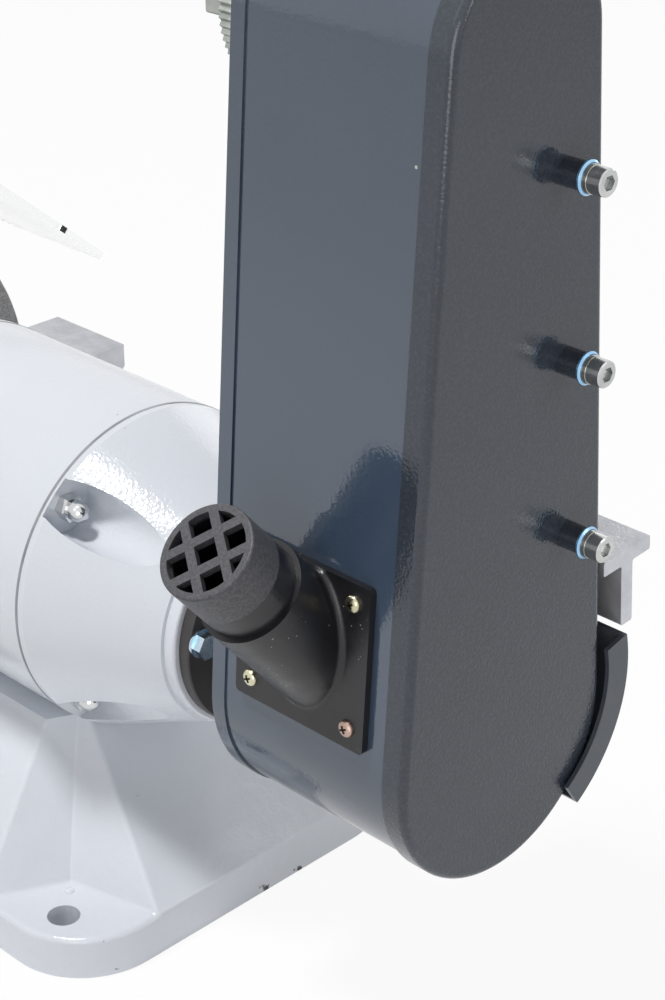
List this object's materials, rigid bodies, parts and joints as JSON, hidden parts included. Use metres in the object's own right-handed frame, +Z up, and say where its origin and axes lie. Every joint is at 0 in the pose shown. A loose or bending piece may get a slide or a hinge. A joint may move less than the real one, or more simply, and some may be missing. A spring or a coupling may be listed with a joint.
{
  "type": "bench belt sander and grinder",
  "caption": "Bench motor on a cast foot that drives an upright belt sanding arm with a leaning dust port at one end and a hooded grinding wheel with rest and eye shield at the other.",
  "frame": {"origin": "centre of the base on its underside, amid its bench bolts", "axes": "+Z up, +X along the motor shaft from the belt to the grinding wheel, the operator stands at -Y"},
  "size_m": [0.4835, 0.26, 0.4425],
  "materials": {
    "white_paint": "gloss enamel",
    "slate_paint": "gloss paint",
    "grey_paint": "textured gloss paint",
    "guard_paint": "satin paint",
    "black_paint": "satin paint",
    "zinc": "zinc plated",
    "yellow_zinc": "yellow zinc plated",
    "dome_chrome": "bright plated",
    "turned_steel": "turned",
    "lamination": "laminated",
    "copper": "enamelled wire",
    "cast_alloy": "as cast",
    "wheel_alloy": "turned",
    "tyre_rubber": "matt",
    "abrasive_cloth": "abrasive grit",
    "abrasive_stone": "vitrified grit",
    "black_plastic": "moulded satin",
    "green_plastic": "moulded gloss",
    "red_plastic": "moulded gloss",
    "clear_shield": "clear",
    "can": "drawn can"
  },
  "bodies": {
    "frame": {"base_casting": "white_paint", "base_cover": "black_paint", "base_cover_screws": "zinc", "motor_shell": "white_paint", "saddle_bolts": "zinc", "stator_core": "lamination", "stator_windings": "copper", "end_bell_left": "white_paint", "end_bell_right": "white_paint", "tie_rods": "zinc", "dome_nuts": "dome_chrome", "shaft_bearings": "turned_steel", "clamp_ring": "black_paint", "nose_bolts": "zinc", "wheel_hood": "slate_paint", "hood_cover": "grey_paint", "hood_screws": "zinc", "grinding_rest_bolts": "zinc", "shield_pin": "zinc", "switch_plate": "black_plastic", "capacitor": "can", "cable_gland": "black_plastic"},
    "rotor": {"motor_shaft": "turned_steel", "rotor_core": "lamination", "spacer_sleeves": "turned_steel", "drive_wheel": "wheel_alloy", "drive_tyre": "tyre_rubber", "shaft_nuts": "zinc", "grinding_wheel": "abrasive_stone", "wheel_flanges": "turned_steel"},
    "arm": {"swivel_neck": "turned_steel", "arm_plate": "slate_paint", "plate_screws": "zinc", "housing_band": "slate_paint", "side_cover": "grey_paint", "cover_posts": "zinc", "cover_washers": "zinc", "cover_screws": "zinc", "platen": "turned_steel", "sanding_belt": "abrasive_cloth", "tension_spring": "zinc", "spring_bracket": "black_paint", "dust_port": "black_plastic", "dust_cap": "black_plastic", "port_screws": "yellow_zinc", "arm_clamp_screws": "zinc"},
    "tension": {"idler_axle": "turned_steel", "tension_block": "zinc"},
    "idler": {"idler_wheel": "wheel_alloy", "idler_bearings": "turned_steel"},
    "tracking": {"tracking_wheel": "zinc"},
    "belt_rest_slider": {"belt_rest": "cast_alloy"},
    "guard_swinger": {"spark_guard": "guard_paint"},
    "grinding_rest_slider": {"grinding_rest": "cast_alloy"},
    "arrester_slider": {"spark_arrester": "zinc"},
    "shield_tilter": {"shield_arm": "black_paint", "eye_shield": "clear_shield"},
    "start_press": {"start_button": "green_plastic"},
    "stop_press": {"stop_button": "red_plastic"}
  },
  "joints": [
    {"name": "rotor_spin", "type": "hinge", "parent": "frame", "child": "rotor", "pos_m": [0, 0, 0.143], "axis": [1, 0, 0], "continuous": true},
    {"name": "arm_swivel", "type": "hinge", "parent": "frame", "child": "arm", "pos_m": [-0.15, 0, 0.143], "axis": [-1, 0, 0], "range_deg": [0, 90]},
    {"name": "tension_slide", "type": "slide", "parent": "arm", "child": "tension", "axis": [0, 0, 1], "range_m": [-0.008, 0], "stiffness_N_per_m": 3000, "springref_m": 0.015, "deforming": ["tension_spring"]},
    {"name": "idler_spin", "type": "hinge", "parent": "tension", "child": "idler", "pos_m": [-0.2135, 0, 0.405], "axis": [1, 0, 0], "continuous": true},
    {"name": "tracking_turn", "type": "hinge", "parent": "tension", "child": "tracking", "pos_m": [-0.1592, 0, 0.405], "axis": [1, 0, 0], "range_deg": [-180, 180]},
    {"name": "belt_rest_slide", "type": "slide", "parent": "arm", "child": "belt_rest_slider", "axis": [0, -0.9976, 0.0687], "range_m": [0, 0.01]},
    {"name": "spark_guard_swing", "type": "hinge", "parent": "arm", "child": "guard_swinger", "pos_m": [-0.162, -0.032, 0.115], "axis": [1, 0, 0], "range_deg": [0, 15]},
    {"name": "grinding_rest_slide", "type": "slide", "parent": "frame", "child": "grinding_rest_slider", "axis": [0, -1, 0], "range_m": [0, 0.015]},
    {"name": "spark_arrester_slide", "type": "slide", "parent": "frame", "child": "arrester_slider", "axis": [0, -0.7431, -0.6691], "range_m": [0, 0.006]},
    {"name": "eye_shield_tilt", "type": "hinge", "parent": "frame", "child": "shield_tilter", "pos_m": [0.1595, -0.04962, 0.25445], "axis": [-1, 0, 0], "range_deg": [0, 50]},
    {"name": "start_press_in", "type": "slide", "parent": "frame", "child": "start_press", "axis": [0, 0.7713, -0.6365], "range_m": [0, 0.003], "stiffness_N_per_m": 600, "springref_m": -0.002},
    {"name": "stop_press_in", "type": "slide", "parent": "frame", "child": "stop_press", "axis": [0, 0.7713, -0.6365], "range_m": [0, 0.003], "stiffness_N_per_m": 600, "springref_m": -0.002}
  ],
  "couplings": [
    {"joint": "idler_spin", "follows": "rotor_spin", "ratio": 1.6316}
  ]
}
